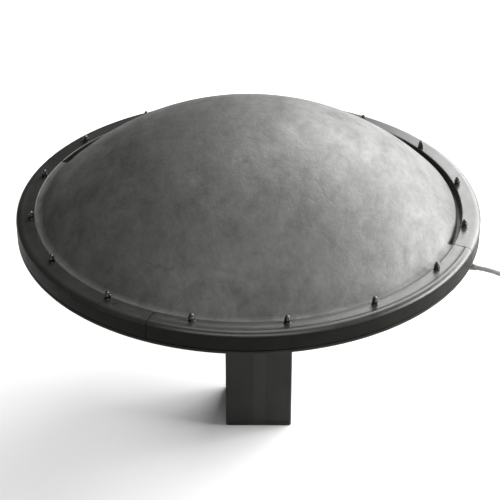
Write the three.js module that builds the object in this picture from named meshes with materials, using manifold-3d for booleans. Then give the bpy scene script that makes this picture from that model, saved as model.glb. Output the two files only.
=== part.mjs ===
// A radar scanner under a low dome, on a short square post, with its cable coiled beside it.
// Millimetres, +Z up. The origin is on the scanner's turning axis, in the plane of the post's foot.
import * as THREE from 'three';
import { mergeVertices } from 'three/addons/utils/BufferGeometryUtils.js';
import Module from 'manifold-3d';

const wasm = await Module();
wasm.setup();

// Driving dimensions.
const GAP = 0.3; // left between pieces that touch
const SIDES = 48; // facets round the housing
const SEAM = -23; // degrees from +X to the first seam of the rim ring

const RIM = { outer: 315, inner: 288.8, top: 353, edge: 5.5, underside: 340, skirtIn: 310.3, skirtEnd: 329 };
const BOLTS = { count: 16, circle: 294, first: -13.35, shank: 2, washer: 4.5, flats: 7 };
const DOME = { apex: 471.7, radius: 390, wall: 282, shoulder: 11, skin: 3.5, flange: 310, seat: 336 };
const PAN = { brim: 323.5, lip: 328, seat: 332.7, wall: 277.5, skin: 4, knee: 298, floor: 256, flat: 190 };
const POST = { x: 14.5, side: 95, skin: 4, corner: 3, cap: 7, plug: 27 };
const FLANGE = { side: 170, thick: 8, pitch: 130, bolt: 5, flats: 17, boss: 10, bossTop: 274 };

const BEARING = { outer: 17.5, split: 12.9, bore: 8.8, wide: 10, low: 272, high: 292 };
const GEAR = { module: 1.6, teeth: 90, thick: 8, z: 309.3 };
const PINION = { teeth: 15, shaft: 3 };
const ARRAY = { half: 245, deep: 30, low: 321.9, high: 366, cap: 7 };

const CABLE = { radius: 3.5, z: 312, azimuth: SEAM + 180 / SIDES };
const COIL = { x: 468, y: -100, middle: 63, half: 23.6, low: 1.1, high: 29.4 };

// Where the cable lies between its strain relief and the coil, and between the coil and its connector.
const RUN = [
  [301.5, -105.3, 312], [316, -110.3, 311.4], [331, -115.3, 308.5], [346, -119.8, 302],
  [359.5, -123, 290.5], [370, -124.8, 273], [377, -125.5, 250], [381.5, -125.5, 222],
  [384.5, -125.5, 190], [387, -126, 155], [389.5, -127.5, 120], [392.5, -131, 88],
  [396, -138, 62], [402, -147, 43], [409, -156.2, 34],
];
const TAIL = [
  [478.4, -10, 4.4], [463, 0.5, 4.2], [450, 14, 5], [441, 30, 7.5], [436, 47, 10.2], [434, 62, 11],
];
const PLUG = { at: [433.8, 62.6, 11], heading: 95.7, radius: 10.8 };

const rad = THREE.MathUtils.degToRad;
const around = (count, make) => Array.from({ length: count }, (_, i) => make(i));

// ---- solids -------------------------------------------------------------------------------

// A three.js geometry as a solid with its faces pointing out.
function solid(geometry) {
  geometry.deleteAttribute('normal');
  geometry.deleteAttribute('uv');
  const merged = mergeVertices(geometry, 1e-4);
  const at = merged.attributes.position;
  const [a, b, c] = [new THREE.Vector3(), new THREE.Vector3(), new THREE.Vector3()];
  const faces = [];
  let volume = 0;
  for (let i = 0; i < merged.index.count; i += 3) {
    const face = [0, 1, 2].map((k) => merged.index.getX(i + k));
    if (new Set(face).size < 3) continue; // a sliver where the profile meets the axis
    [a, b, c].forEach((v, k) => v.fromBufferAttribute(at, face[k]));
    volume += a.dot(b.cross(c));
    faces.push(face);
  }
  const out = volume < 0 ? faces.map(([p, q, r]) => [p, r, q]) : faces;
  return new wasm.Manifold(new wasm.Mesh({
    numProp: 3,
    vertProperties: new Float32Array(at.array),
    triVerts: new Uint32Array(out.flat()),
  }));
}

function geometryOf(body) {
  const mesh = body.getMesh();
  const geometry = new THREE.BufferGeometry();
  geometry.setAttribute('position', new THREE.BufferAttribute(new Float32Array(mesh.vertProperties), 3));
  geometry.setIndex(new THREE.BufferAttribute(new Uint32Array(mesh.triVerts), 1));
  geometry.computeVertexNormals();
  return geometry;
}

// A profile of [radius, height] points turned about Z, with its first facet edge at `phase` degrees.
function turned(profile, sides = SIDES, phase = SEAM) {
  const points = profile.map(([r, z]) => new THREE.Vector2(r, z));
  const lathe = new THREE.LatheGeometry(points, sides, rad(phase + 90), 2 * Math.PI);
  return solid(lathe.rotateX(Math.PI / 2));
}

// The same, but turned about a line that runs out level from the Z axis along the cable's exit.
function turnedOutward(profile, sides) {
  const points = profile.map(([r, s]) => new THREE.Vector2(r, s));
  const lathe = new THREE.LatheGeometry(points, sides, 0, 2 * Math.PI);
  lathe.rotateX(Math.PI / 2).rotateY(Math.PI / 2).translate(0, 0, CABLE.z);
  return solid(lathe.rotateZ(rad(CABLE.azimuth)));
}

// The same, about the connector's axis: heights are counted from its cable end.
function turnedOnPlug(profile, sides) {
  const points = profile.map(([r, s]) => new THREE.Vector2(r, s));
  const lathe = new THREE.LatheGeometry(points, sides, rad(180 / sides), 2 * Math.PI);
  lathe.rotateX(Math.PI / 2).rotateY(Math.PI / 2).rotateZ(rad(PLUG.heading));
  return solid(lathe.translate(...PLUG.at));
}

function block([x0, x1], [y0, y1], [z0, z1]) {
  const box = new THREE.BoxGeometry(x1 - x0, y1 - y0, z1 - z0);
  return solid(box.translate((x0 + x1) / 2, (y0 + y1) / 2, (z0 + z1) / 2));
}

function rod(radius, [z0, z1], [x, y] = [0, 0], sides = 12) {
  const cylinder = new THREE.CylinderGeometry(radius, radius, z1 - z0, sides);
  return solid(cylinder.rotateX(Math.PI / 2).translate(x, y, (z0 + z1) / 2));
}

function hexagon(flats, span, at) {
  return rod(flats / 2 / Math.cos(Math.PI / 6), span, at, 6);
}

function prism(shape, [z0, z1], x = 0) {
  const extrude = new THREE.ExtrudeGeometry(shape, { depth: z1 - z0, bevelEnabled: false, curveSegments: 3 });
  return solid(extrude.translate(x, 0, z0));
}

function roundedSquare(side, corner) {
  const h = side / 2;
  const shape = new THREE.Shape();
  shape.absarc(h - corner, h - corner, corner, 0, rad(90));
  shape.absarc(corner - h, h - corner, corner, rad(90), rad(180));
  shape.absarc(corner - h, corner - h, corner, rad(180), rad(270));
  shape.absarc(h - corner, corner - h, corner, rad(270), rad(360));
  return shape;
}

function hose(points, radius, sides, steps) {
  const path = new THREE.CatmullRomCurve3(points.map((p) => new THREE.Vector3(...p)), false, 'centripetal');
  const section = new THREE.Shape(around(sides, (i) => new THREE.Vector2(
    radius * Math.cos((2 * Math.PI * i) / sides),
    radius * Math.sin((2 * Math.PI * i) / sides),
  )));
  return solid(new THREE.ExtrudeGeometry(section, { steps, extrudePath: path, bevelEnabled: false }));
}

const joined = (bodies) => bodies.reduce((all, body) => all.add(body));
const without = (body, cuts) => cuts.reduce((left, cut) => left.subtract(cut), body);
const arc = (r, z, radius, from, to, steps) => around(steps + 1, (i) => {
  const angle = rad(from + ((to - from) * i) / steps);
  return [r + radius * Math.cos(angle), z + radius * Math.sin(angle)];
});
const onCircle = (radius, degrees) => [radius * Math.cos(rad(degrees)), radius * Math.sin(rad(degrees))];

// ---- materials ----------------------------------------------------------------------------

const finish = (color, roughness, metalness = 0) => () => (
  new THREE.MeshStandardMaterial({ color, roughness, metalness })
);
const laminate = finish(0x4a4b49, 0.45);
const darkPaint = finish(0x35362f, 0.42);
const postPaint = finish(0x34362f, 0.55);
const blackRubber = finish(0x141414, 0.8);
const castAlloy = finish(0x8d9092, 0.5, 0.9);
const steel = finish(0x6d6f72, 0.35, 1);
const blackSteel = finish(0x1d1e1f, 0.4, 0.8);
const greyPlastic = finish(0x9b9b98, 0.55);
const cableGrey = finish(0x8d8d8b, 0.5);
const brass = finish(0xb5934c, 0.35, 1);
const acetal = finish(0xd9d6cb, 0.5);
const boardGreen = finish(0x1f5a35, 0.5);

const scanner = new THREE.Group();
function add(name, body, material) {
  const mesh = new THREE.Mesh(geometryOf(body), material());
  mesh.name = name;
  scanner.add(mesh);
}

// ---- the housing: dome, rim ring with its bolts, gasket, pan --------------------------------

const boltAngles = around(BOLTS.count, (i) => BOLTS.first + (i * 360) / BOLTS.count);
const boltHoles = (span) => boltAngles.map((angle) => (
  rod(BOLTS.shank + GAP + 0.1, span, onCircle(BOLTS.circle, angle), 6)
));

// The dome is a shallow cap of a sphere that rolls over into a short wall and a flat flange.
function dome() {
  const centre = DOME.apex - DOME.radius;
  const shoulderR = DOME.wall - DOME.shoulder;
  const shoulderZ = centre + Math.sqrt((DOME.radius - DOME.shoulder) ** 2 - shoulderR ** 2);
  const tangent = THREE.MathUtils.radToDeg(Math.atan2(shoulderZ - centre, shoulderR));
  const skinOf = (inset, capSteps) => [
    ...arc(0, centre, DOME.radius - inset, 90, tangent, capSteps),
    ...arc(shoulderR, shoulderZ, DOME.shoulder - inset, tangent, 0, 3).slice(1),
  ];
  const flangeTop = RIM.underside - GAP;
  const outer = skinOf(0, 6);
  const inner = skinOf(DOME.skin, 4).reverse();
  outer[0][0] = 0;
  inner[inner.length - 1][0] = 0;
  return turned([
    ...outer,
    [DOME.wall, flangeTop + 1.5],
    [DOME.wall + 1.5, flangeTop],
    [DOME.flange, flangeTop],
    [DOME.flange, DOME.seat],
    [DOME.wall - DOME.skin, DOME.seat],
    ...inner,
  ]);
}
add('radome_dome', without(dome(), boltHoles([DOME.seat - 5, RIM.underside + 5])), laminate);

// The rim ring clamps the dome's flange. It is made in four quarters that meet at butt seams.
const ring = without(turned([
  [RIM.inner, RIM.underside],
  [RIM.skirtIn, RIM.underside],
  [RIM.skirtIn, RIM.skirtEnd],
  [RIM.outer, RIM.skirtEnd],
  ...arc(RIM.outer - RIM.edge, RIM.top - RIM.edge, RIM.edge, 0, 90, 3),
  [RIM.inner + 1.2, RIM.top],
  [RIM.inner, RIM.top - 1.2],
  [RIM.inner, RIM.underside],
]), boltHoles([RIM.underside - 5, RIM.top + 5]));
around(4, (i) => {
  const quarter = new THREE.BoxGeometry(400, 400, 100).translate(200 + GAP, 200 + GAP, RIM.underside);
  add(`rim_ring_${i + 1}`, ring.intersect(solid(quarter.rotateZ(rad(SEAM + 90 * i)))), darkPaint);
});

// Each rim bolt is a stud with a round washer and a tall cap nut.
boltAngles.forEach((angle, i) => {
  const at = onCircle(BOLTS.circle, angle);
  const seat = RIM.top + GAP;
  const cap = new THREE.LatheGeometry(
    [[0, 0], [3.1, 0], [2.5, 2.8], [0, 4.5]].map(([r, z]) => new THREE.Vector2(r, z)), 6,
  ).rotateX(Math.PI / 2).translate(...at, seat + 6.2);
  add(`rim_bolt_${String(i + 1).padStart(2, '0')}`, joined([
    rod(BOLTS.shank, [PAN.brim + 1, seat + 0.5], at, 6),
    rod(BOLTS.washer, [seat, seat + 0.9], at, 8),
    hexagon(BOLTS.flats, [seat + 0.5, seat + 6.4], at),
    solid(cap),
  ]), blackSteel);
});

add('rim_gasket', turned([
  [281, PAN.seat + GAP], [289, PAN.seat + GAP], [289, DOME.seat - GAP], [281, DOME.seat - GAP],
  [281, PAN.seat + GAP],
]), blackRubber);

// The pan closes the housing below: a bowl, and a flange that is bonded round its upper edge.
// Blind bosses in the bowl's floor take the post's bolts.
const flangeBoltPlaces = [[-1, -1], [1, -1], [1, 1], [-1, 1]].map(([i, j]) => (
  [POST.x + (i * FLANGE.pitch) / 2, (j * FLANGE.pitch) / 2]
));
function pan() {
  const inside = PAN.wall - PAN.skin;
  const top = PAN.floor + PAN.skin;
  const shell = turned([
    [0, PAN.floor],
    [PAN.flat - 10, PAN.floor],
    [PAN.flat + 4, PAN.floor + 2.5],
    [PAN.wall - 3, PAN.knee - 2.5],
    [PAN.wall, PAN.knee],
    [PAN.wall, PAN.seat],
    [inside, PAN.seat],
    [inside, PAN.knee + 1.5],
    [PAN.flat - 3, top],
    [0, top],
  ]);
  const bosses = flangeBoltPlaces.map((at) => rod(FLANGE.boss, [PAN.floor + 2, FLANGE.bossTop], at));
  const blindHoles = flangeBoltPlaces.map((at) => (
    rod(FLANGE.bolt + GAP, [PAN.floor - 5, FLANGE.bossTop - 4], at)
  ));
  const glandHole = turnedOutward([[0, 260], [8.3, 260], [8.3, 290], [0, 290]], 12);
  return without(joined([shell, ...bosses]), [...blindHoles, glandHole]);
}
add('base_pan', pan(), darkPaint);

add('pan_flange', without(turned([
  [PAN.wall + GAP, PAN.brim], [RIM.outer, PAN.brim], [RIM.outer, PAN.lip], [RIM.skirtIn - 1, PAN.lip],
  [RIM.skirtIn - 1, PAN.seat], [PAN.wall + GAP, PAN.seat], [PAN.wall + GAP, PAN.brim],
]), boltHoles([PAN.brim - 5, PAN.seat + 5])), darkPaint);

// ---- the post ---------------------------------------------------------------------------------

const flangeTop = PAN.floor - GAP;
const flangeLow = flangeTop - FLANGE.thick;
add('post_flange', without(
  prism(roundedSquare(FLANGE.side, 14), [flangeLow, flangeTop], POST.x),
  flangeBoltPlaces.map((at) => rod(FLANGE.bolt + GAP, [flangeLow - 5, flangeTop + 5], at)),
), postPaint);

flangeBoltPlaces.forEach((at, i) => {
  const head = flangeLow - GAP;
  add(`flange_bolt_${i + 1}`, joined([
    rod(FLANGE.bolt, [head - 1, FLANGE.bossTop - 6], at),
    hexagon(FLANGE.flats, [head - 6.4, head], at),
  ]), steel);
});

add('post_tube', prism(roundedSquare(POST.side, POST.corner), [POST.cap + GAP, flangeLow - GAP], POST.x)
  .subtract(prism(roundedSquare(POST.side - 2 * POST.skin, 3), [0, PAN.floor], POST.x)), postPaint);

const plugSide = POST.side - 2 * POST.skin - 2 * GAP;
add('post_end_cap', joined([
  prism(roundedSquare(POST.side, POST.corner), [0, POST.cap], POST.x),
  prism(roundedSquare(plugSide, 3), [POST.cap - 1, POST.plug], POST.x)
    .subtract(prism(roundedSquare(plugSide - 6, 2), [POST.cap, POST.plug + 5], POST.x)),
]), blackRubber);

// ---- the cable and what holds it ----------------------------------------------------------------

const facet = Math.cos(Math.PI / SIDES); // a facet's middle is this much nearer the axis than its edges
const wallFace = PAN.wall * facet;
add('cable_gland', turnedOutward([
  [0, 266], [8, 266], [8, wallFace + GAP], [10.5, wallFace + GAP], [10.5, 283], [9.4, 284],
  [9.4, 289.5], [7.5, 291], [0, 291],
], 12), blackSteel);
add('gland_nut', turnedOutward([
  [8.3, 267], [11.4, 267], [11.4, (PAN.wall - PAN.skin) * facet - GAP],
  [8.3, (PAN.wall - PAN.skin) * facet - GAP], [8.3, 267],
], 12), blackSteel);
add('strain_relief', turnedOutward([
  [0, 291.3], [6.6, 291.3], [6.6, 294], [4.4, 319], [0, 319],
], 12), blackRubber);

add('cable_run', hose(RUN, CABLE.radius, 8, 26), cableGrey);
add('cable_tail', hose(TAIL, CABLE.radius, 8, 6), cableGrey);

const coilRing = turned([
  [COIL.middle - COIL.half, COIL.low], [COIL.middle + COIL.half, COIL.low],
  [COIL.middle + COIL.half, COIL.high], [COIL.middle - COIL.half, COIL.high],
  [COIL.middle - COIL.half, COIL.low],
], 32, 0);
add('cable_coil', coilRing.translate([COIL.x, COIL.y, 0]), cableGrey);

// A strap goes once round the bundle, under it and over it.
const STRAP = { half: 6, slack: 0.9, thick: 0.8, azimuth: 150 };
const strapSpan = (extra) => [COIL.middle - COIL.half - extra, COIL.middle + COIL.half + extra];
const strap = block(strapSpan(STRAP.slack + STRAP.thick), [-STRAP.half, STRAP.half], [0, COIL.high + 1.2])
  .subtract(block(strapSpan(STRAP.slack), [-20, 20], [STRAP.thick, COIL.high + 0.4]));
add('cable_tie', strap.rotate([0, 0, STRAP.azimuth]).translate([COIL.x, COIL.y, 0]), blackRubber);

// The connector's shell, and the ring that screws it to its socket.
add('cable_connector', turnedOnPlug([
  [0, 0], [5.5, 0], [6.2, 9], [PLUG.radius, 14], [PLUG.radius, 24], [8.2, 24], [8.2, 44], [7.4, 46],
  [7.4, 51], [0, 51],
], 12), blackSteel);
add('connector_ring', turnedOnPlug([
  [8.6, 24.6], [10.2, 24.6], [10.2, 41], [9.6, 42], [8.6, 42], [8.6, 24.6],
], 16), steel);

// ---- the turning unit: bearings, spindle, gear, antenna ---------------------------------------------

const floorTop = PAN.floor + PAN.skin;
const seatR = BEARING.outer + GAP;
const lowTop = BEARING.low + BEARING.wide;
const highTop = BEARING.high + BEARING.wide;
add('bearing_housing', turned([
  [14.5, floorTop + GAP], [48, floorTop + GAP], [48, floorTop + 6], [34, floorTop + 8], [30, 290],
  [30, 302.5], [seatR, 302.5], [seatR, BEARING.high - GAP], [14.5, BEARING.high - GAP],
  [14.5, lowTop + GAP], [seatR, lowTop + GAP], [seatR, BEARING.low - GAP], [14.5, BEARING.low - GAP],
  [14.5, floorTop + GAP],
], 20, 0), castAlloy);

const race = (from, to, low, high) => turned([[from, low], [to, low], [to, high], [from, high], [from, low]], 16, 0);
add('lower_bearing_outer', race(BEARING.split, BEARING.outer, BEARING.low, lowTop), steel);
add('upper_bearing_outer', race(BEARING.split, BEARING.outer, BEARING.high, highTop), steel);
add('lower_bearing_inner', race(BEARING.bore, BEARING.split - GAP, BEARING.low, lowTop), steel);
add('upper_bearing_inner', race(BEARING.bore, BEARING.split - GAP, BEARING.high, highTop), steel);

const shaftR = BEARING.bore - GAP;
const spigotTop = ARRAY.low - 2 * GAP;
add('spindle', turned([
  [5, 270.5], [shaftR, 270.5], [shaftR, 304], [26, 304], [26, GEAR.z - GAP], [shaftR, GEAR.z - GAP],
  [shaftR, spigotTop], [5, spigotTop], [5, 270.5],
], 16, 0), steel);

// The fixed half of the rotary joint: its pin runs up inside the hollow spindle.
add('rotary_joint', turned([
  [0, floorTop + GAP], [13.5, floorTop + GAP], [13.5, 268.5], [4, 269.5], [4, 300], [0, 301.5],
], 16, 0), brass);

// A spur gear with straight-sided teeth, slim enough to leave backlash.
function gearOutline(teeth, turn) {
  const pitch = (GEAR.module * teeth) / 2;
  const [root, tip] = [pitch - 1.25 * GEAR.module, pitch + 0.9 * GEAR.module];
  const halfAt = (r) => ((Math.PI * GEAR.module) / 4 - 0.2 - (r - pitch) * Math.tan(rad(20))) / r;
  const corners = around(teeth, (i) => {
    const middle = turn + (2 * Math.PI * i) / teeth;
    return [[root, -1], [tip, -1], [tip, 1], [root, 1]].map(([r, side]) => {
      const angle = middle + side * halfAt(r);
      return new THREE.Vector2(r * Math.cos(angle), r * Math.sin(angle));
    });
  });
  return new THREE.Shape(corners.flat());
}
const gearTop = GEAR.z + GEAR.thick;
add('driven_gear', without(
  prism(gearOutline(GEAR.teeth, 0), [GEAR.z, gearTop]),
  [
    rod(BEARING.bore, [300, 330], [0, 0], 16),
    ...around(6, (i) => rod(13, [300, 330], onCircle(49, 30 + 60 * i), 10)),
  ],
), acetal);

const pinionX = (-GEAR.module * (GEAR.teeth + PINION.teeth)) / 2;
add('drive_pinion', joined([
  prism(gearOutline(PINION.teeth, Math.PI), [GEAR.z, gearTop], pinionX),
  rod(PINION.shaft, [292.5, GEAR.z + 1], [pinionX, 0]),
]), steel);

add('array_bracket', without(joined([
  block([-66, 66], [-18, 18], [gearTop + GAP, ARRAY.low - GAP]),
  block([-66, 66], [-18, -ARRAY.deep / 2 - GAP], [gearTop + GAP, 340]),
  block([-66, 66], [ARRAY.deep / 2 + GAP, 18], [gearTop + GAP, 340]),
]), [rod(BEARING.bore, [300, 330], [0, 0], 16)]), castAlloy);

// The slotted array: a long box whose front face, towards -Y, has a row of shallow tilted slots.
function antennaArray() {
  const [front, back] = [-ARRAY.deep / 2, ARRAY.deep / 2];
  const middle = (ARRAY.low + ARRAY.high) / 2;
  const slots = around(14, (i) => {
    const slot = new THREE.BoxGeometry(3, 4, 26).rotateY(rad(i % 2 ? 14 : -14));
    return solid(slot.translate(-221 + 34 * i, front, middle));
  });
  return without(block([-ARRAY.half, ARRAY.half], [front, back], [ARRAY.low, ARRAY.high]), slots);
}
add('antenna_array', antennaArray(), greyPlastic);
[['left', -1], ['right', 1]].forEach(([side, sign]) => {
  const span = [sign * (ARRAY.half + GAP), sign * (ARRAY.half + ARRAY.cap)].sort((a, b) => a - b);
  add(`array_cap_${side}`, block(span, [-14, 14], [ARRAY.low + 2, ARRAY.high - 2]), acetal);
});

// A magnet under the gear passes a sensor once each turn and so marks the heading.
const markAt = 62;
add('heading_magnet', rod(4, [GEAR.z - 4, GEAR.z - GAP], [0, -markAt - 5]), blackSteel);
add('heading_sensor', joined([
  block([-10, 10], [-markAt - 12, -markAt + 2], [floorTop + GAP, floorTop + 3]),
  block([-6, 6], [-markAt - 8, -markAt - 2], [floorTop + 2, GEAR.z - 5.3]),
]), boardGreen);

// ---- the drive and the electronics --------------------------------------------------------------------

add('drive_motor', turned([
  [0, 262], [24, 262], [26, 264], [26, 296], [24, 298.5], [9, 298.5], [9, 302.5], [3.5, 302.5],
  [3.5, 291], [0, 291],
], 20, 0).translate([pinionX, 0, 0]), blackSteel);

const BRACKET = { half: 32, wall: 3, under: 298.8, top: 301.8 };
const bracketX = [pinionX - 24, pinionX + 24];
add('motor_bracket', without(joined([
  block(bracketX, [-BRACKET.half, BRACKET.half], [BRACKET.under, BRACKET.top]),
  ...[-1, 1].flatMap((s) => {
    const wall = [s * BRACKET.half, s * (BRACKET.half - BRACKET.wall)].sort((a, b) => a - b);
    const foot = [s * (BRACKET.half - BRACKET.wall), s * (BRACKET.half + 10)].sort((a, b) => a - b);
    return [
      block(bracketX, wall, [floorTop + GAP, BRACKET.under + 1]),
      block(bracketX, foot, [floorTop + GAP, floorTop + 3.3]),
    ];
  }),
]), [rod(9.4, [290, 310], [pinionX, 0], 20)]), castAlloy);

// The transceiver sits in a finned box, the processor board on four stand-offs behind the axis.
const TRX = { x: [96, 172], y: [-46, 46], z: [floorTop + GAP, 300] };
add('transceiver_box', without(block(TRX.x, TRX.y, TRX.z), around(9, (i) => {
  const y = -38.5 + i * 9;
  return block([90, 180], [y - 2.5, y + 2.5], [TRX.z[1] - 9, TRX.z[1] + 5]);
})), castAlloy);

const BOARD = { x: [-62, 62], y: [92, 166], low: floorTop + 10, thick: 1.6 };
add('main_board', joined([
  block(BOARD.x, BOARD.y, [BOARD.low, BOARD.low + BOARD.thick]),
  ...[[-55, 99], [55, 99], [-55, 159], [55, 159]].map((at) => (
    rod(3.5, [floorTop + GAP, BOARD.low + 1], at, 8)
  )),
  block([-46, -14], [112, 144], [BOARD.low + 1, BOARD.low + 5]),
  block([4, 50], [104, 116], [BOARD.low + 1, BOARD.low + 12]),
  block([8, 26], [128, 150], [BOARD.low + 1, BOARD.low + 9]),
  ...[34, 46].map((x) => rod(5, [BOARD.low + 1, BOARD.low + 17], [x, 140], 10)),
]), boardGreen);

// The cable goes on inside, from the gland down the pan's slope to the transceiver.
const [glandX, glandY] = onCircle(265.6, CABLE.azimuth);
const [leadX, leadY] = onCircle(252, CABLE.azimuth);
add('inner_harness', hose([
  [glandX, glandY, CABLE.z], [leadX, leadY, CABLE.z - 1], [226, -72, 298], [205, -60, 284],
  [193, -44, 280], [185, -32, 280], [TRX.x[1] + 1, -28, 280],
], CABLE.radius, 8, 14), cableGrey);

export default scanner;
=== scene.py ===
"""Looks of a radar dome antenna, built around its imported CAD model. Metres, in the model's own frame."""
import math
import random

import bmesh
import bpy
from mathutils import Matrix, Vector, noise


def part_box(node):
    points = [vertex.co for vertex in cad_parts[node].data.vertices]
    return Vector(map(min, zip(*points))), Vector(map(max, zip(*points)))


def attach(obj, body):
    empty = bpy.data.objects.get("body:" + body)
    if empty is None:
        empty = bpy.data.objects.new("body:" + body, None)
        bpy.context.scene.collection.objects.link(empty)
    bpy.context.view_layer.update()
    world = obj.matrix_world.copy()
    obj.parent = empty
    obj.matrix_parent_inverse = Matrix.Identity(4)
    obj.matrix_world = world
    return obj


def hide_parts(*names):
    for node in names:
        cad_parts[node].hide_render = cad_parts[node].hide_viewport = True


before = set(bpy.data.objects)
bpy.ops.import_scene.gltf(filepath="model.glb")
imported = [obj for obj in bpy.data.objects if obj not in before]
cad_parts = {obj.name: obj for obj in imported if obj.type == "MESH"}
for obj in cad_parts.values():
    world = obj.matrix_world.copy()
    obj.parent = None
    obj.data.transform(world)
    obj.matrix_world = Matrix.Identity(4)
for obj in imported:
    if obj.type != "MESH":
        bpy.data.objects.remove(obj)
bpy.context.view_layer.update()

random.seed(7)
MM = 0.001
TAU = 2 * math.pi
HOUSING = "housing"

# ---- sizes that come from the frame --------------------------------------------------------------

dome_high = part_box("radome_dome")[1]
DOME_APEX = dome_high.z
DOME_FLANGE = dome_high.x
ring_low, ring_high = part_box("rim_ring_1")
RIM_TOP = ring_high.z
RIM_SKIRT = ring_low.z
RIM_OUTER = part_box("pan_flange")[1].x
PAN_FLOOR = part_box("base_pan")[0].z
post_low, post_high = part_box("post_tube")
cap_low, cap_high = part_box("post_end_cap")
POST_X = (post_low.x + post_high.x) / 2
POST_SIDE = post_high.x - post_low.x

# Sizes of the housing's section that the frame's boxes don't give.
RIM_INNER = RIM_OUTER - 26.2 * MM
SPHERE = 390 * MM  # the radius that the dome's cap is curved to
WALL = 282 * MM  # the dome's own radius, at its upright edge
SHOULDER = 11 * MM  # the roll between cap and edge
SKIN = 3.5 * MM
SEAM = math.radians(-23)  # the first of the ring's four seams
SEAM_GAP = 0.5 * MM
BOLT_CIRCLE = 294 * MM
BOLT_FIRST = math.radians(-13.35)
BOLT_COUNT = 16


# ---- camera --------------------------------------------------------------------------------------

def make_camera():
    """30 degrees above the rim's plane, all but level with the object's axis and two metres away."""
    elevation, distance, tilt, sideways = 0.5255, 1.9908, 0.0338, 0.002
    camera = bpy.data.objects.new("camera", bpy.data.cameras.new("camera"))
    bpy.context.scene.collection.objects.link(camera)
    away, above = distance * math.cos(elevation), distance * math.sin(elevation)
    place = Vector((sideways, -away, RIM_TOP + above))
    turn = Matrix.Rotation(math.pi / 2 - elevation - tilt, 4, "X")
    camera.matrix_world = Matrix.Translation(place) @ turn
    camera.data.sensor_width = 36
    camera.data.lens = 104.95
    camera.data.clip_start = 0.05
    camera.data.clip_end = 60
    bpy.context.scene.camera = camera


make_camera()


# ---- materials -----------------------------------------------------------------------------------

class Nodes:
    """A short way to write a material's node tree, all in the object's own coordinates."""

    def __init__(self, name):
        self.material = bpy.data.materials.new(name)
        self.material.use_nodes = True
        self.tree = self.material.node_tree
        self.shader = self.tree.nodes["Principled BSDF"]
        self.coordinates = self.add("ShaderNodeTexCoord").outputs["Object"]
        self.height = None

    def add(self, kind, **settings):
        node = self.tree.nodes.new(kind)
        for key, value in settings.items():
            setattr(node, key, value)
        return node

    def link(self, source, target):
        self.tree.links.new(source, target)

    def stretched(self, scale):
        mapping = self.add("ShaderNodeMapping")
        mapping.inputs["Scale"].default_value = scale
        self.link(self.coordinates, mapping.inputs["Vector"])
        return mapping.outputs["Vector"]

    def noise(self, scale, detail=4, roughness=0.55, warp=0.0, along=None):
        node = self.add("ShaderNodeTexNoise")
        node.inputs["Scale"].default_value = scale
        node.inputs["Detail"].default_value = detail
        node.inputs["Roughness"].default_value = roughness
        node.inputs["Distortion"].default_value = warp
        self.link(along or self.coordinates, node.inputs["Vector"])
        return node.outputs["Fac"]

    def cells(self, scale, feature, along):
        node = self.add("ShaderNodeTexVoronoi", feature=feature)
        node.inputs["Scale"].default_value = scale
        self.link(along, node.inputs["Vector"])
        return node.outputs["Distance"]

    def between(self, value, low, high, from_low=0.3, from_high=0.7):
        """Runs from low to high while the value runs between the two last numbers."""
        node = self.add("ShaderNodeMapRange")
        self.link(value, node.inputs["Value"])
        ends = {"From Min": from_low, "From Max": from_high, "To Min": low, "To Max": high}
        for key, number in ends.items():
            node.inputs[key].default_value = number
        return node.outputs["Result"]

    def maths(self, operation, a, b):
        node = self.add("ShaderNodeMath", operation=operation)
        for socket, value in zip(node.inputs, (a, b)):
            if isinstance(value, (int, float)):
                socket.default_value = value
            else:
                self.link(value, socket)
        return node.outputs[0]

    def apart(self, value, number):
        """How far a value is from a number, whichever is greater."""
        return self.maths("ABSOLUTE", self.maths("SUBTRACT", value, number), 0)

    def mixed(self, share, a, b):
        node = self.add("ShaderNodeMix", data_type="RGBA")
        self.link(share, node.inputs[0])
        for socket, value in ((node.inputs[6], a), (node.inputs[7], b)):
            if isinstance(value, tuple):
                socket.default_value = (*value, 1)
            else:
                self.link(value, socket)
        return node.outputs[2]

    def bump(self, height, distance, strength=1.0):
        """Adds a layer of bump, `distance` metres high, to the shader's normal."""
        node = self.add("ShaderNodeBump")
        node.inputs["Distance"].default_value = distance
        node.inputs["Strength"].default_value = strength
        self.link(height, node.inputs["Height"])
        if self.height:
            self.link(self.height, node.inputs["Normal"])
        self.height = node.outputs["Normal"]
        self.link(self.height, self.shader.inputs["Normal"])

    def set(self, **sockets):
        """Sets the shader's sockets to a number, a colour or a node's output."""
        for key, value in sockets.items():
            socket = self.shader.inputs[key.replace("_", " ")]
            if isinstance(value, (int, float)):
                socket.default_value = value
            elif isinstance(value, tuple):
                socket.default_value = (*value, 1)
            else:
                self.link(value, socket)


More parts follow.
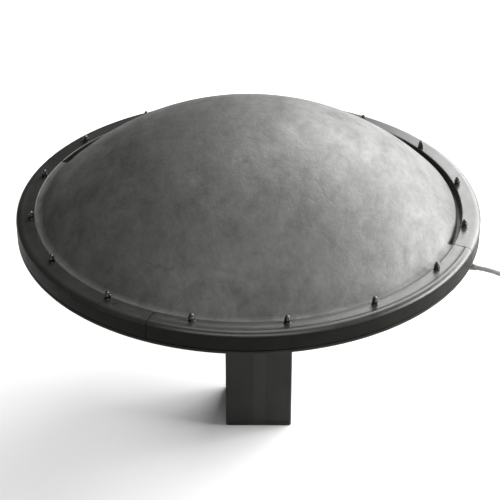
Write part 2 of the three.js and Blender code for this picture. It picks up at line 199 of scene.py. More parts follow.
def dome_laminate():
    """Dark grey gel coat over hand-laid laminate: cloudy tone and gloss, creases, a leathery grain."""
    m = Nodes("dome_laminate")
    along_y = m.stretched((1, 0.6, 1))
    cloud = m.noise(4.5, 3, 0.5, 0.3)
    mottle = m.noise(40, 9, 0.76, 0.2, along_y)
    smudge = m.noise(14, 8, 0.72, 0.4, along_y)
    leather = m.noise(85, 8, 0.74)
    patches = m.between(m.noise(8, 6, 0.62, 0.7), 0, 0.16, 0.53, 0.66)
    winding = m.between(m.apart(m.noise(9, 3, 0.5, 0.8), 0.5), 1, 0, 0.0, 0.028)
    creases = m.maths("MULTIPLY", winding, m.between(smudge, 0, 1, 0.50, 0.60))
    tone = m.maths("ADD", m.maths("MULTIPLY", mottle, 0.5), m.maths("MULTIPLY", smudge, 0.5))
    worn = m.mixed(m.between(tone, 0, 1, 0.38, 0.62), (0.036, 0.037, 0.034), (0.100, 0.100, 0.097))
    dirt = m.maths("MAXIMUM", m.maths("MULTIPLY", creases, 0.35), patches)
    m.set(
        Base_Color=m.mixed(dirt, worn, (0.015, 0.015, 0.015)),
        Roughness=m.between(tone, 0.62, 0.46, 0.38, 0.62),
        Specular_IOR_Level=0.6,
    )
    m.bump(cloud, 3 * MM, 0.35)
    m.bump(smudge, 1.2 * MM, 0.35)
    m.bump(mottle, 1.1 * MM, 0.7)
    m.bump(leather, 0.5 * MM, 0.8)
    m.bump(m.maths("SUBTRACT", 1, creases), 0.3 * MM, 0.5)
    return m.material


def gel_coat(name, dark, light, rough, specular, grain=0.08):
    """Semi-gloss paint or gel coat with cloudy tone, dust in its lower gloss, and orange peel."""
    m = Nodes(name)
    cloud = m.noise(14, 5, 0.6, 0.6)
    scuffs = m.noise(70, 6, 0.7, 0.3, m.stretched((1, 1, 2.5)))
    peel = m.noise(420, 2, 0.5)
    m.set(
        Base_Color=m.mixed(m.between(cloud, 0, 1), dark, light),
        Roughness=m.between(scuffs, rough - 0.05, rough + 0.08),
        Specular_IOR_Level=specular,
    )
    m.bump(cloud, 0.8 * MM, 0.35)
    m.bump(peel, grain * MM, 0.5)
    return m.material


def rim_paint():
    """Brushed-on black gel coat, glossy and scuffed."""
    m = Nodes("rim_paint")
    cloud = m.noise(11, 5, 0.6, 0.6)
    scuffs = m.noise(55, 7, 0.7, 0.4)
    peel = m.noise(300, 2, 0.5)
    m.set(
        Base_Color=m.mixed(m.between(cloud, 0, 1), (0.015, 0.016, 0.013), (0.026, 0.027, 0.024)),
        Roughness=m.between(scuffs, 0.25, 0.39),
        Specular_IOR_Level=0.48,
    )
    m.bump(cloud, 0.8 * MM, 0.3)
    m.bump(scuffs, 0.03 * MM, 0.25)
    m.bump(peel, 0.015 * MM, 0.3)
    return m.material


def post_paint():
    """Dull black paint with a paler strip painted up the middle of the post's front and back: a painted
    highlight.
    """
    m = Nodes("post_paint")
    cloud = m.noise(16, 5, 0.62, 0.5)
    streaks = m.noise(60, 6, 0.7, along=m.stretched((1, 1, 0.12)))
    peel = m.noise(380, 2, 0.5)
    split = m.add("ShaderNodeSeparateXYZ")
    m.link(m.coordinates, split.inputs[0])
    # The paler strip up the middle of each face is a painted highlight, streaked by noise.
    middle = m.between(m.apart(split.outputs["X"], POST_X + 1 * MM), 1, 0, 7 * MM, 10 * MM)
    painted_highlight_strip = m.maths("MULTIPLY", middle, m.between(streaks, 0.45, 1))
    paint = m.mixed(m.between(cloud, 0, 1), (0.010, 0.011, 0.008), (0.018, 0.019, 0.015))
    m.set(
        # The pale colour below is the painted highlight's.
        Base_Color=m.mixed(m.maths("MULTIPLY", painted_highlight_strip, 0.5), paint, (0.034, 0.034, 0.031)),
        Roughness=m.between(streaks, 0.45, 0.60),
        Specular_IOR_Level=0.28,
    )
    m.bump(streaks, 0.12 * MM, 0.4)
    m.bump(peel, 0.05 * MM, 0.5)
    return m.material


def scaled(tone, factor):
    """A colour made darker or lighter."""
    return tuple(min(1, factor * c) for c in tone)


def rubber(name, tone, rough=0.72):
    """Rubber or moulded plastic: dusty tone and fine pores."""
    m = Nodes(name)
    dust = m.noise(45, 6, 0.65)
    pores = m.noise(900, 2, 0.6)
    m.set(
        Base_Color=m.mixed(m.between(dust, 0, 1), scaled(tone, 0.75), scaled(tone, 1.45)),
        Roughness=m.between(dust, rough - 0.08, rough + 0.1),
        Specular_IOR_Level=0.35,
    )
    m.bump(pores, 0.06 * MM, 0.6)
    return m.material


def metal(name, tone, rough, lines=None):
    """Machined or cast metal: `lines` is the stretch of its tool marks, or None for a blasted skin."""
    m = Nodes(name)
    stain = m.noise(35, 5, 0.6)
    marks = m.noise(600, 3, 0.6, along=m.stretched(lines) if lines else None)
    m.set(
        Base_Color=m.mixed(m.between(stain, 0, 1), scaled(tone, 0.8), scaled(tone, 1.12)),
        Roughness=m.between(marks, rough - 0.07, rough + 0.1),
        Metallic=1.0,
    )
    m.bump(marks, 0.05 * MM, 0.5)
    return m.material


def circuit_board():
    """Green solder mask with tracks showing through it as a fine raised net."""
    m = Nodes("circuit_board")
    tracks = m.cells(230, "DISTANCE_TO_EDGE", m.stretched((1, 1, 0.2)))
    cloud = m.noise(60, 4)
    line = m.between(tracks, 1, 0, 0.05, 0.12)
    m.set(
        Base_Color=m.mixed(line, (0.012, 0.085, 0.030), (0.03, 0.17, 0.055)),
        Roughness=m.between(cloud, 0.28, 0.42),
    )
    m.bump(line, 0.05 * MM, 0.6)
    return m.material


def cable_jacket():
    """Mid-grey extruded jacket: fine drag lines and a little grime."""
    m = Nodes("cable_jacket")
    grime = m.noise(28, 5, 0.65)
    drag = m.noise(520, 3, 0.55)
    m.set(
        Base_Color=m.mixed(m.between(grime, 0, 1), (0.17, 0.17, 0.165), (0.30, 0.30, 0.295)),
        Roughness=m.between(grime, 0.42, 0.56),
        Specular_IOR_Level=0.45,
    )
    m.bump(drag, 0.05 * MM, 0.5)
    return m.material


MATERIALS = {
    "dome_laminate": dome_laminate(),
    "rim_paint": rim_paint(),
    # The outer band's paint is a duller copy of the ring's, and its darker colour is painted shade.
    "rim_band_painted_shade": gel_coat("rim_band_painted_shade", (0.005, 0.006, 0.004), (0.010, 0.011, 0.008), 0.50, 0.08, 0.02),
    "pan_paint": gel_coat("pan_paint", (0.009, 0.010, 0.007), (0.017, 0.018, 0.014), 0.46, 0.15),
    "post_paint": post_paint(),
    "black_rubber": rubber("black_rubber", (0.014, 0.014, 0.014)),
    "black_nylon": rubber("black_nylon", (0.02, 0.02, 0.02), 0.45),
    "black_steel": metal("black_steel", (0.10, 0.10, 0.097), 0.26, (1, 1, 6)),
    "steel": metal("steel", (0.46, 0.47, 0.48), 0.28, (1, 1, 8)),
    "cast_alloy": metal("cast_alloy", (0.55, 0.56, 0.57), 0.5),
    "brass": metal("brass", (0.66, 0.50, 0.22), 0.3, (1, 1, 8)),
    "acetal": rubber("acetal", (0.55, 0.54, 0.48), 0.4),
    "array_plastic": rubber("array_plastic", (0.28, 0.28, 0.27), 0.5),
    "motor_paint": gel_coat("motor_paint", (0.02, 0.02, 0.022), (0.035, 0.035, 0.038), 0.35, 0.5),
    "circuit_board": circuit_board(),
    "cable_jacket": cable_jacket(),
}


# ---- mesh helpers --------------------------------------------------------------------------------

def piece(name, mesh_or_bm, slot, body, replaced=(), smooth=40):
    """Makes an object of a mesh, with its material, its body and the CAD nodes that it stands for."""
    if isinstance(mesh_or_bm, bmesh.types.BMesh):
        bmesh.ops.remove_doubles(mesh_or_bm, verts=mesh_or_bm.verts, dist=1e-6)
        bmesh.ops.recalc_face_normals(mesh_or_bm, faces=mesh_or_bm.faces)
        mesh = bpy.data.meshes.new(name)
        mesh_or_bm.to_mesh(mesh)
        mesh_or_bm.free()
    else:
        mesh = mesh_or_bm
    if smooth:
        mesh.shade_smooth()
        mesh.set_sharp_from_angle(angle=math.radians(smooth))
    obj = bpy.data.objects.new(name, mesh)
    bpy.context.scene.collection.objects.link(obj)
    obj.data.materials.clear()
    obj.data.materials.append(MATERIALS[slot])
    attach(obj, body)
    if replaced:
        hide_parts(*replaced)
    return obj


def arc(r, z, radius, start, end, steps):
    """Points of an arc about (r, z), from one angle to another in degrees."""
    angles = [math.radians(start + (end - start) * i / steps) for i in range(steps + 1)]
    return [(r + radius * math.cos(a), z + radius * math.sin(a)) for a in angles]


def lathe(profile, steps, start=0.0, sweep=TAU, shape=None, closed=False):
    """Turns (r, z) points about Z. A part turn gets flat ends; `shape` may move each point."""
    bm = bmesh.new()
    whole = abs(sweep - TAU) < 1e-9
    columns = []
    for i in range(steps if whole else steps + 1):
        angle = start + sweep * i / steps
        column = []
        for r, z in profile:
            if shape:
                r, z = shape(r, z, angle)
            column.append(bm.verts.new((r * math.cos(angle), r * math.sin(angle), z)))
        columns.append(column)
    rows = len(profile)
    for i in range(steps):
        a, b = columns[i], columns[(i + 1) % len(columns)]
        for j in range(rows if closed else rows - 1):
            k = (j + 1) % rows
            quad = [a[j], b[j], b[k], a[k]]
            on_axis = [r < 1e-9 for r in (profile[j][0], profile[k][0])]
            if on_axis[0]:
                quad = [a[j], b[k], a[k]]
            elif on_axis[1]:
                quad = [a[j], b[j], a[k]]
            if not all(on_axis):
                bm.faces.new(quad)
    if not whole and closed:
        bm.faces.new(columns[0])
        bm.faces.new(columns[-1])
    return bm


def along(bm, place, direction):
    """Turns a mesh made about Z so that its Z axis points along a direction, and moves it to a place."""
    turn = Vector(direction).to_track_quat("Z", "Y").to_matrix().to_4x4()
    bmesh.ops.transform(bm, matrix=Matrix.Translation(place) @ turn, verts=bm.verts)
    return bm


def joined(parts):
    """One mesh of several, which are used up."""
    whole = bmesh.new()
    for part in parts:
        mesh = bpy.data.meshes.new("part")
        part.to_mesh(mesh)
        part.free()
        whole.from_mesh(mesh)
        bpy.data.meshes.remove(mesh)
    return whole


def in_mm(points):
    return [(r * MM, z * MM) for r, z in points]


def dress(node, slot, bevel=0.0):
    """A carried-over CAD node gets its material, and its hard edges a small round."""
    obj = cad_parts[node]
    obj.data.materials.clear()
    obj.data.materials.append(MATERIALS[slot])
    if bevel:
        cut = obj.modifiers.new("edge", "BEVEL")
        cut.width = bevel
        cut.segments = 2
        cut.limit_method = "ANGLE"
        cut.angle_limit = math.radians(50)


# ---- the cable comes first -----------------------------------------------------------------------

CABLE_R = 3.5 * MM
COIL = Vector((468, -100, 0)) * MM
COIL_MIDDLE = 63 * MM
LAYERS = 4
TURNS = 5.5  # of each layer, which winds in or out by one cable width each turn
PITCH = 7.3 * MM
RISE = 7.1 * MM
COIL_START = math.radians(-120)
BED = 4.6 * MM  # the middle of the lowest layer's cable

# The cable's free stretches before and behind the coil, in millimetres.
RUN = [
    (301.5, -105.3, 312), (316, -110.3, 311.4), (331, -115.3, 308.5), (346, -119.8, 302),
    (359.5, -123, 290.5), (370, -124.8, 273), (377, -125.5, 250), (381.5, -125.5, 222),
    (384.5, -125.5, 190), (387, -126, 155), (389.5, -127.5, 120), (392.5, -131, 88),
    (396, -138, 62), (402, -147, 43), (409, -156.2, 34), (417, -165, 28),
]
TAIL = [
    (478.4, -10, 4.4), (463, 0.5, 4.2), (450, 14, 5), (441, 30, 7.5), (436, 47, 10.2), (434, 62, 11),
]


def smooth_line(points, steps):
    """A centripetal Catmull-Rom curve through the points."""
    p = [Vector(v) for v in points]
    p = [2 * p[0] - p[1], *p, 2 * p[-1] - p[-2]]
    line = []
    for i in range(1, len(p) - 2):
        knots = [0.0]
        for a, b in zip(p[i - 1:i + 2], p[i:i + 3]):
            knots.append(knots[-1] + math.sqrt((b - a).length))
        t0, t1, t2, t3 = knots
        for s in range(steps):
            t = t1 + (t2 - t1) * s / steps
            a1 = p[i - 1] * ((t1 - t) / (t1 - t0)) + p[i] * ((t - t0) / (t1 - t0))
            a2 = p[i] * ((t2 - t) / (t2 - t1)) + p[i + 1] * ((t - t1) / (t2 - t1))
            a3 = p[i + 1] * ((t3 - t) / (t3 - t2)) + p[i + 2] * ((t - t2) / (t3 - t2))
            b1 = a1 * ((t2 - t) / (t2 - t0)) + a2 * ((t - t0) / (t2 - t0))
            b2 = a2 * ((t3 - t) / (t3 - t1)) + a3 * ((t - t1) / (t3 - t1))
            line.append(b1 * ((t2 - t) / (t2 - t1)) + b2 * ((t - t1) / (t2 - t1)))
    return line + [p[-2]]


def coil_line(per_turn=40):
    """The wound part, from the top layer's outer turn down to the lowest layer's outer turn."""
    outer = COIL_MIDDLE + TURNS * PITCH / 2
    inner = COIL_MIDDLE - TURNS * PITCH / 2
    line, angle = [], COIL_START
    for layer in range(LAYERS):
        height = BED + (LAYERS - 1 - layer) * RISE
        first, last = (outer, inner) if layer % 2 == 0 else (inner, outer)
        steps = round(TURNS * per_turn)
        for i in range(steps):
            radius = first + (last - first) * i / steps
            line.append(COIL + Vector((radius * math.cos(angle), radius * math.sin(angle), height)))
            angle += TAU / per_turn
        if layer < LAYERS - 1:
            steps = per_turn // 2
            for i in range(steps):
                lowered = height - RISE * (1 - math.cos(math.pi * i / steps)) / 2
                line.append(COIL + Vector((last * math.cos(angle), last * math.sin(angle), lowered)))
                angle += TAU / per_turn
    return line


def make_cable():
    """One round curve for the whole cable. Returns it with its length."""
    run = smooth_line([Vector(p) * MM for p in RUN], 6)
    tail = smooth_line([Vector(p) * MM for p in TAIL], 8)
    line = run + coil_line() + tail
    length = sum((b - a).length for a, b in zip(line, line[1:]))
    curve = bpy.data.curves.new("cable", "CURVE")
    curve.dimensions = "3D"
    curve.bevel_depth = CABLE_R
    curve.bevel_resolution = 3
    curve.use_fill_caps = True
    spline = curve.splines.new("POLY")
    spline.points.add(len(line) - 1)
    for point, place in zip(spline.points, line):
        point.co = (*place, 1)
    spline.use_smooth = True
    cable = bpy.data.objects.new("cable", curve)
    bpy.context.scene.collection.objects.link(cable)
    curve.materials.append(MATERIALS["cable_jacket"])
    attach(cable, HOUSING)
    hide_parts("cable_run", "cable_coil", "cable_tail")
    return cable, length


cable, cable_length = make_cable()


# ---- what is on the cable ------------------------------------------------------------------------

def outward():
    """The gland's axis: out level from the middle of the housing."""
    start = Vector(RUN[0]) * MM
    return Vector((start.x, start.y, 0)).normalized(), start.z


def gland_piece(name, profile, slot, node, steps=40, shape=None):
    """Turns a profile about the gland's axis; its heights are distances from the housing's middle."""
    direction, height = outward()
    bm = lathe(profile, steps, shape=shape)
    return piece(name, along(bm, (0, 0, height), direction), slot, HOUSING, [node])


def six_sided(flats, low_at, high_at):
    """Pulls a round profile in to a hexagon of that width across its flats, between two heights."""
    def shape(r, z, angle):
        if low_at <= z <= high_at:
            within = (angle + math.pi / 6) % (math.pi / 3) - math.pi / 6
            r = min(r, flats / 2 / math.cos(within))
        return r, z
    return shape


def fluted(count, depth, low_at, high_at, least_r=0.0, square=False):
    """Cuts flutes into a round profile between two heights, where it is wider than `least_r`."""
    def shape(r, z, angle):
        wave = math.cos(count * angle)
        share = wave > 0.3 if square else (1 + wave) / 2
        if low_at < z < high_at and r > least_r:
            r -= depth * share
        return r, z
    return shape


def make_gland():
    """The gland in the pan's wall and, returned, the ribbed strain relief behind it."""
    wall = 277.6
    body = in_mm([
        (0, 266), (7.6, 266), (8, 266.6), (8, wall - 0.4), (10, wall - 0.4), (10.4, wall),
        (10.4, 282.4), (9.9, 283), (9.2, 283.4), (9.2, 284), (9.4, 284.4), (9.4, 288.6),
        (8.6, 290.2), (7.2, 291), (0, 291),
    ])
    flutes = fluted(24, 0.35 * MM, 284.2 * MM, 288.8 * MM)
    gland_piece("cable_gland_body", body, "black_nylon", "cable_gland", 72, flutes)
    ribs = []
    for i in range(9):
        at = 292.2 + i * 2.7
        size = 6.4 - i * 0.2
        ribs += [(size, at), (size, at + 1.5), (size - 0.9, at + 1.8), (size - 0.9, at + 2.5)]
    sleeve = in_mm([
        (0, 291.2), (6.0, 291.2), (6.4, 291.6), *ribs, (4.6, 317), (4.3, 318.6), (3.9, 319), (0, 319),
    ])
    return gland_piece("cable_strain_relief", sleeve, "cable_jacket", "strain_relief")


def make_tie():
    """A flat strap with round corners that is laid round the bundle."""
    angle = math.radians(150)
    half = 23.6 * MM
    top, thick, width = 30.0 * MM, 0.8 * MM, 6 * MM
    inner, outer = COIL_MIDDLE - half - 1.3 * MM, COIL_MIDDLE + half + 1.3 * MM
    corner = 3.2 * MM
    loop = (
        arc(outer - corner, corner + thick / 2, corner, -90, 0, 5)
        + arc(outer - corner, top - corner, corner, 0, 90, 5)
        + arc(inner + corner, top - corner, corner, 90, 180, 5)
        + arc(inner + corner, corner + thick / 2, corner, 180, 270, 5)
    )
    bm = bmesh.new()
    count = len(loop)
    sections = []
    for i, (r, z) in enumerate(loop):
        before, after = Vector(loop[i - 1]), Vector(loop[(i + 1) % count])
        tangent = (after - before).normalized()
        normal = Vector((tangent.y, -tangent.x)) * thick / 2
        section = []
        for side, out in ((-1, -1), (-0.94, 1), (0.94, 1), (1, -1)):
            place = Vector((r, z)) + normal * out
            section.append(bm.verts.new((place.x, side * width, max(place.y, 0.00005))))
        sections.append(section)
    for i in range(count):
        a, b = sections[i], sections[(i + 1) % count]
        for j in range(4):
            bm.faces.new([a[j], b[j], b[(j + 1) % 4], a[(j + 1) % 4]])
    turn = Matrix.Translation(COIL) @ Matrix.Rotation(angle, 4, "Z")
    bmesh.ops.transform(bm, matrix=turn, verts=bm.verts)
    return piece("cable_strap", bm, "black_rubber", HOUSING, ["cable_tie"], 50)


PLUG_AT = Vector((433.8, 62.6, 11)) * MM
PLUG_HEADING = math.radians(95.7)
PLUG_AXIS = (math.cos(PLUG_HEADING), math.sin(PLUG_HEADING), 0)
CONTACTS = 9  # a ring of eight and one in the middle


def make_connector_shell():
    """The connector's body: a boot, a fluted grip, a neck under the coupling ring and an open mouth."""
    body = lathe(in_mm([
        (0, 0), (4.4, 0), (4.9, 0.5), (5.4, 5), (6.2, 9.4), (9.6, 13.6), (10.6, 14.4), (10.7, 15.2),
        (10.7, 22.8), (10.3, 23.8), (8.2, 24.1), (8.2, 43.6), (7.6, 44.4), (7.3, 45), (7.3, 50.6),
        (6.9, 51), (6.1, 51), (6.1, 46), (0, 46),
    ]), 96, shape=fluted(18, 0.45 * MM, 14.5 * MM, 23.5 * MM, square=True))
    along(body, PLUG_AT, PLUG_AXIS)
    return piece("connector_shell", body, "black_nylon", HOUSING, ["cable_connector"], 35)


def make_contacts():
    """The pins that stand in the connector's mouth."""
    pins = []
    for i in range(CONTACTS):
        radius = 0 if i == CONTACTS - 1 else 3.7 * MM
        angle = TAU * i / (CONTACTS - 1)
        pin = lathe(in_mm([(0, 0), (0.65, 0), (0.65, 3.4), (0.35, 4), (0, 4.1)]), 10)
        spot = Vector((radius * math.cos(angle), radius * math.sin(angle), 45.9 * MM))
        bmesh.ops.translate(pin, verts=pin.verts, vec=spot)
        pins.append(pin)
    return piece("connector_pins", along(joined(pins), PLUG_AT, PLUG_AXIS), "brass", HOUSING)


def make_coupling():
    """The knurled ring that turns on the connector's neck."""
    ring = lathe(in_mm([
        (8.5, 24.7), (9.9, 24.7), (10.2, 25.1), (10.2, 25.9), (10.2, 26.1), (10.2, 39.4), (10.2, 39.6),
        (10.2, 40.6), (9.6, 41.9), (8.5, 41.9),
    ]), 144, shape=fluted(36, 0.3 * MM, 26 * MM, 39.5 * MM, 9.5 * MM), closed=True)
    along(ring, PLUG_AT, PLUG_AXIS)
    return piece("connector_coupling_ring", ring, "steel", "coupling_ring", ["connector_ring"], 30)


strain_relief = make_gland()
cable_strap = make_tie()
connector = [make_connector_shell(), make_contacts(), make_coupling()]


# ---- dome ----------------------------------------------------------------------------------------

def dome_profile(inset, cap_steps):
    """The shallow cap of a sphere and its rolled shoulder, from the apex down, `inset` below the skin."""
    centre = DOME_APEX - SPHERE
    shoulder_r = WALL - SHOULDER
    shoulder_z = centre + math.sqrt((SPHERE - SHOULDER) ** 2 - shoulder_r ** 2)
    tangent = math.degrees(math.atan2(shoulder_z - centre, shoulder_r))
    cap = arc(0, centre, SPHERE - inset, 90, tangent, cap_steps)
    cap[0] = (0, cap[0][1])
    return cap + arc(shoulder_r, shoulder_z, SHOULDER - inset, tangent, 0, 10)[1:]


def hand_laid(r, z, angle):
    """The unevenness of a hand-laid skin, fading out towards the shoulder."""
    spot = Vector((r * math.cos(angle), r * math.sin(angle), z))
    broad = noise.noise(spot * 7 + Vector((3, 1, 0)))
    fine = noise.noise(spot * 21 + Vector((0, 5, 2)))
    fade = min(1, max(0, (WALL - r) / (25 * MM)))
    return r, z - (0.35 * MM + 0.55 * MM * broad + 0.18 * MM * fine) * fade


def make_dome():
    """The outer skin, the flange under the ring, and the inner skin back up to the apex."""
    top = RIM_TOP - 13.3 * MM
    bottom = top - 3.7 * MM
    edge = DOME_FLANGE
    profile = dome_profile(0, 90)
    profile += [(WALL, top + 3.5 * MM)]
    profile += arc(WALL + 3 * MM, top + 3 * MM, 3 * MM, 180, 270, 5)
    profile += [(BOLT_CIRCLE, top), (edge - 0.5 * MM, top), (edge, top - 0.5 * MM), (edge, bottom)]
    profile += [(WALL - SKIN, bottom)]
    profile += dome_profile(SKIN, 24)[::-1]
    bm = lathe(profile, 288, shape=hand_laid)
    piece("dome_shell", bm, "dome_laminate", HOUSING, ["radome_dome"], 60)


make_dome()


# ---- rim ring ------------------------------------------------------------------------------------

def ring_profile(channel):
    """A flat bar with a soft inner lip, a broad rolled outer edge and a skirt below; `channel` is the
    depth of the shallow groove that runs along the middle of its top."""
    inner, outer = RIM_INNER, RIM_OUTER
    under, top = RIM_TOP - 13 * MM, RIM_TOP
    bead_wide, bead_high = 8.5 * MM, 6 * MM
    turn = [math.radians(90 * i / 14) for i in range(15)]
    bead = [(outer - bead_wide * (1 - math.cos(a)), top - bead_high * (1 - math.sin(a))) for a in turn]
    span = [math.radians(180 * i / 12) for i in range(13)]
    groove = [(outer - (12.7 - 4.2 * math.cos(a)) * MM, top - channel * math.sin(a) ** 2) for a in span]
    skirt_inner = inner + 21.5 * MM
    return (
        [(inner, under), (skirt_inner, under), (skirt_inner, RIM_SKIRT), (outer - 0.6 * MM, RIM_SKIRT)]
        + [(outer, RIM_SKIRT + 0.6 * MM), (outer, top - 12 * MM)]
        + bead + groove
        + [(inner + 5 * MM, top), (inner + 2.2 * MM, top)]
        + arc(inner + 1.2 * MM, top - 1.2 * MM, 1.2 * MM, 90, 180, 4)
    )


GROOVES = (0.02 * MM, 0.02 * MM, 0.1 * MM, 0.4 * MM)  # the front right quarter is the most hollowed


def make_ring():
    """Four quarters with butt seams, glossy on top and dull on the outer band, whose darker colour is
    painted shade.
    """
    cut = SEAM_GAP / RIM_OUTER
    for i, groove in enumerate(GROOVES):
        start = SEAM + i * TAU / 4 + cut
        bm = lathe(ring_profile(groove), 96, start, TAU / 4 - 2 * cut, closed=True)
        ends = [
            edge for edge in bm.edges
            if len(edge.link_faces) == 2 and any(len(face.verts) > 4 for face in edge.link_faces)
        ]
        bmesh.ops.bevel(bm, geom=ends, offset=0.45 * MM, segments=2, affect="EDGES", profile=0.6)
        quarter = piece(f"rim_quarter_{i + 1}", bm, "rim_paint", HOUSING, [f"rim_ring_{i + 1}"], 38)
        quarter.data.materials.append(MATERIALS["rim_band_painted_shade"])
        # Sideways faces at the outer edge get the darker band paint: painted shade down the ring's side.
        for face in quarter.data.polygons:
            outside = face.center.xy.length > RIM_OUTER - 3 * MM
            face.material_index = 1 if outside and face.normal.z < 0.35 else 0


def make_fillet():
    """Filler that levels the gap between the dome and the two front quarters of the ring."""
    section = [(RIM_INNER + out * MM, RIM_TOP + up * MM) for out, up in (
        (-0.1, -5), (-0.1, -1.1), (-1.6, -1.25), (-4.2, -1.2), (-6.8, -0.7), (-8.3, 0.2), (-9.4, 0.8),
        (-9.4, -1), (-7.2, -5),
    )]

    def ragged(r, z, angle):
        if r < RIM_INNER - MM:
            z += 0.35 * MM * noise.noise(Vector((40 * angle, 90 * r, 0)))
        return r, z

    clear = math.radians(0.1)
    bm = lathe(section, 220, SEAM + math.pi + clear, math.pi - 2 * clear, ragged, closed=True)
    piece("rim_filler", bm, "dome_laminate", HOUSING, smooth=60)


make_ring()
make_fillet()


# ---- rim fasteners -------------------------------------------------------------------------------

def bolt_mesh():
    """A washer, a hexagon nut with chamfered corners and its tall domed cap, Z up from the ring's top."""
    flats, cap_r, cap_foot, cap_top = 7.0, 3.1, 6.8, 11.0
    corners = flats / 2 / math.cos(math.pi / 6)
    turn = [math.radians(10 * i) for i in range(9)]
    dome = [(cap_r * math.cos(a), cap_foot + (cap_top - cap_foot) * math.sin(a)) for a in turn]
    nut = [
        (0, 1.05), (flats / 2 - 0.1, 1.05), (corners, 1.5), (corners, 6.0), (flats / 2 - 0.2, 6.6),
        (cap_r, 6.6), *dome, (0, cap_top),
    ]
    whole = joined([  # washer, nut and shank
        lathe(in_mm([(0, 0.1), (4.3, 0.1), (4.5, 0.3), (4.5, 0.9), (4.3, 1.1), (0, 1.1)]), 48),
        lathe(in_mm(nut), 48, shape=six_sided(flats * MM, 1.2 * MM, 6.3 * MM)),
        lathe(in_mm([(0, -28.4), (1.6, -28.4), (2.0, -28.0), (2.0, 0.15), (0, 0.15)]), 24),
    ])
    bmesh.ops.recalc_face_normals(whole, faces=whole.faces)
    mesh = bpy.data.meshes.new("rim_bolt")
    whole.to_mesh(mesh)
    whole.free()
    return mesh


def make_bolts():
    base = bolt_mesh()
    for i in range(BOLT_COUNT):
        angle = BOLT_FIRST + i * TAU / BOLT_COUNT
        mesh = base.copy()
        place = Vector((BOLT_CIRCLE * math.cos(angle), BOLT_CIRCLE * math.sin(angle), RIM_TOP))
        turn = Matrix.Rotation(random.uniform(0, math.pi / 3), 4, "Z")
        mesh.transform(Matrix.Translation(place) @ turn)
        piece(f"rim_fastener_{i + 1:02d}", mesh, "black_steel", HOUSING, [f"rim_bolt_{i + 1:02d}"], 35)


make_bolts()


# ---- pan -----------------------------------------------------------------------------------------

def make_pan():
    """The bowl below, and the flange that is bonded round its upper edge."""
    wall, skin = 277.5 * MM, 4 * MM
    brim, lip, seat = 323.5 * MM, 328 * MM, 332.7 * MM
    floor, knee = PAN_FLOOR, 298 * MM
    bowl = [
        (0, floor), (174 * MM, floor), (180 * MM, floor + 0.1 * MM), (187 * MM, floor + 0.9 * MM),
        (194 * MM, floor + 2.6 * MM), (268 * MM, knee - 5.6 * MM), (273.5 * MM, knee - 2.6 * MM),
        (276.4 * MM, knee), (wall, knee + 3.4 * MM), (wall, seat), (wall - skin, seat),
        (wall - skin, knee + 1.5 * MM), (187 * MM, floor + skin), (0, floor + skin),
    ]
    piece("pan_bowl", lathe(bowl, 240), "pan_paint", HOUSING, ["base_pan"], 40)
    bond = wall + 0.1 * MM
    flange = [
        (bond, brim + 1.5 * MM), (bond + 1.5 * MM, brim), (RIM_OUTER - 1 * MM, brim),
        (RIM_OUTER - 0.3 * MM, brim + 0.3 * MM), (RIM_OUTER, brim + 1 * MM), (RIM_OUTER, lip - 1 * MM),
        (RIM_OUTER - 0.3 * MM, lip - 0.3 * MM), (RIM_OUTER - 1 * MM, lip), (309.3 * MM, lip),
        (309.3 * MM, seat), (bond, seat),
    ]
    piece("pan_brim", lathe(flange, 240, closed=True), "pan_paint", HOUSING, ["pan_flange"], 40)


make_pan()


# ---- post ----------------------------------------------------------------------------------------

def square_loop(side, corner):
    """A square with round corners about the post's middle line, as (x, y) points."""
    h = side / 2 - corner
    loop = []
    for sx, sy, start in ((1, 1, 0), (-1, 1, 90), (-1, -1, 180), (1, -1, 270)):
        loop += arc(sx * h, sy * h, corner, start, start + 90, 8)
    return [(x + POST_X, y) for x, y in loop]


def stack(rings):
    """A skin through loops of equal length, each (loop, height). Returns it with its rows of points."""
    bm = bmesh.new()
    rows = [[bm.verts.new((x, y, z)) for x, y in loop] for loop, z in rings]
    count = len(rows[0])
    for a, b in zip(rows, rows[1:]):
        for i in range(count):
            j = (i + 1) % count
            bm.faces.new([a[i], a[j], b[j], b[i]])
    return bm, rows


def make_post():
    """A square tube with a rounded foot edge, and the end piece that is pressed into it."""
    corner, skin, plug = 3 * MM, 4 * MM, POST_SIDE - 8.6 * MM
    foot = (square_loop(POST_SIDE - 0.8 * MM, corner - 0.4 * MM), post_low.z)
    outer = square_loop(POST_SIDE, corner)
    inner = square_loop(POST_SIDE - 2 * skin, corner - 1 * MM)
    tube, _ = stack([
        foot, (outer, post_low.z + 0.4 * MM), (outer, post_high.z),
        (inner, post_high.z), (inner, post_low.z), foot,
    ])
    piece("post_body", tube, "post_paint", HOUSING, ["post_tube"], 30)
    top, lid = cap_high.z, cap_low.z + 7 * MM
    cap, rows = stack([
        (square_loop(POST_SIDE - 2.4 * MM, corner - 1.2 * MM), 0.0),
        (square_loop(POST_SIDE - 0.7 * MM, corner - 0.35 * MM), 0.35 * MM),
        (outer, 1.2 * MM),
        (outer, lid - 0.5 * MM),
        (square_loop(POST_SIDE - 1 * MM, corner - 0.5 * MM), lid),
        (square_loop(plug, 3 * MM), lid),
        (square_loop(plug, 3 * MM), top),
        (square_loop(plug - 6 * MM, 2 * MM), top),
        (square_loop(plug - 6 * MM, 2 * MM), lid),
    ])
    cap.faces.new(rows[0])
    cap.faces.new(rows[-1])
    piece("post_foot_cap", cap, "post_paint", HOUSING, ["post_end_cap"], 30)


make_post()


# ---- pieces that keep their CAD shape ------------------------------------------------------------

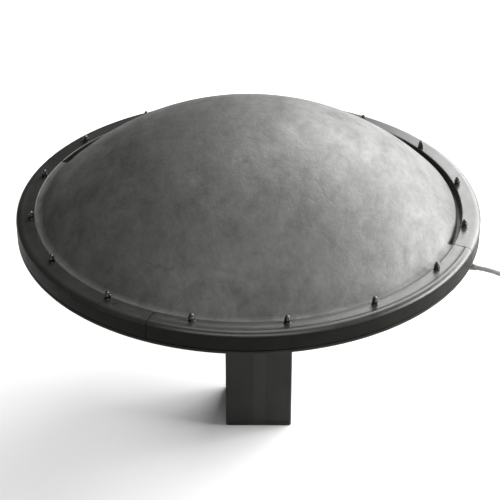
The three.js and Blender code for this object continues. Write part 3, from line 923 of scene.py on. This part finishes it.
# Each material slot's nodes, with the round that their hard edges get, in millimetres.
KEPT = {
    "black_rubber": [("rim_gasket", 0)],
    "post_paint": [("post_flange", 0.8)],
    "black_nylon": [("gland_nut", 0.3)],
    "steel": [
        *[(f"flange_bolt_{i}", 0.4) for i in (1, 2, 3, 4)],
        ("lower_bearing_outer", 0.4), ("upper_bearing_outer", 0.4), ("lower_bearing_inner", 0.3),
        ("upper_bearing_inner", 0.3), ("spindle", 0.3), ("drive_pinion", 0.1), ("heading_magnet", 0.3),
    ],
    "cast_alloy": [
        ("bearing_housing", 0.6), ("motor_bracket", 0.4), ("transceiver_box", 0.5),
        ("array_bracket", 0.4),
    ],
    "brass": [("rotary_joint", 0.3)],
    "acetal": [("driven_gear", 0.12), ("array_cap_left", 0.8), ("array_cap_right", 0.8)],
    "array_plastic": [("antenna_array", 0.4)],
    "motor_paint": [("drive_motor", 0.4)],
    "circuit_board": [("main_board", 0.15), ("heading_sensor", 0.2)],
    "cable_jacket": [("inner_harness", 0)],
}
for slot_name, members in KEPT.items():
    for node_name, edge_mm in members:
        dress(node_name, slot_name, edge_mm * MM)


# ---- floor and light -----------------------------------------------------------------------------

FLOOR_REACH = 12
LAMP_DISTANCE = 3
AIM = Vector((0, 0, 0.3))


def make_floor():
    bm = bmesh.new()
    bmesh.ops.create_grid(bm, x_segments=1, y_segments=1, size=FLOOR_REACH)
    mesh = bpy.data.meshes.new("floor")
    bm.to_mesh(mesh)
    bm.free()
    floor = bpy.data.objects.new("floor", mesh)
    floor.location.z = -0.2 * MM  # a hair below the foot, so that the two faces don't flicker
    bpy.context.scene.collection.objects.link(floor)
    m = Nodes("floor")
    m.set(
        Base_Color=m.mixed(m.noise(3, 3), (0.83, 0.83, 0.83), (0.85, 0.85, 0.85)),
        Roughness=0.9,
        Specular_IOR_Level=0.1,
    )
    mesh.materials.append(m.material)


def softbox(name, azimuth, elevation, size, power):
    """A soft lamp aimed at the housing. Azimuth 0 is +X and 90 is +Y."""
    a, e = math.radians(azimuth), math.radians(elevation)
    away = Vector((math.cos(a) * math.cos(e), math.sin(a) * math.cos(e), math.sin(e)))
    light = bpy.data.lights.new(name, "AREA")
    light.shape = "RECTANGLE"
    light.size, light.size_y = size
    light.energy = power
    obj = bpy.data.objects.new(name, light)
    turn = (-away).to_track_quat("-Z", "Y").to_matrix().to_4x4()
    obj.matrix_world = Matrix.Translation(AIM + LAMP_DISTANCE * away) @ turn
    bpy.context.scene.collection.objects.link(obj)


def make_light():
    world = bpy.data.worlds.new("studio")
    bpy.context.scene.world = world
    world.use_nodes = True
    background = world.node_tree.nodes["Background"]
    background.inputs["Color"].default_value = (1, 1, 1, 1)
    background.inputs["Strength"].default_value = 0.06
    bpy.context.scene.view_settings.view_transform = "Standard"
    softbox("side", 2, 20, (1.8, 1.8), 142)
    softbox("corner", 32, 18, (1.6, 1.6), 88)
    softbox("back", 62, 29, (1.6, 2.4), 100)
    softbox("front", -90, 50, (2.6, 1.8), 50)
    softbox("top", 78, 66, (1.6, 1.6), 24)


make_floor()
make_light()
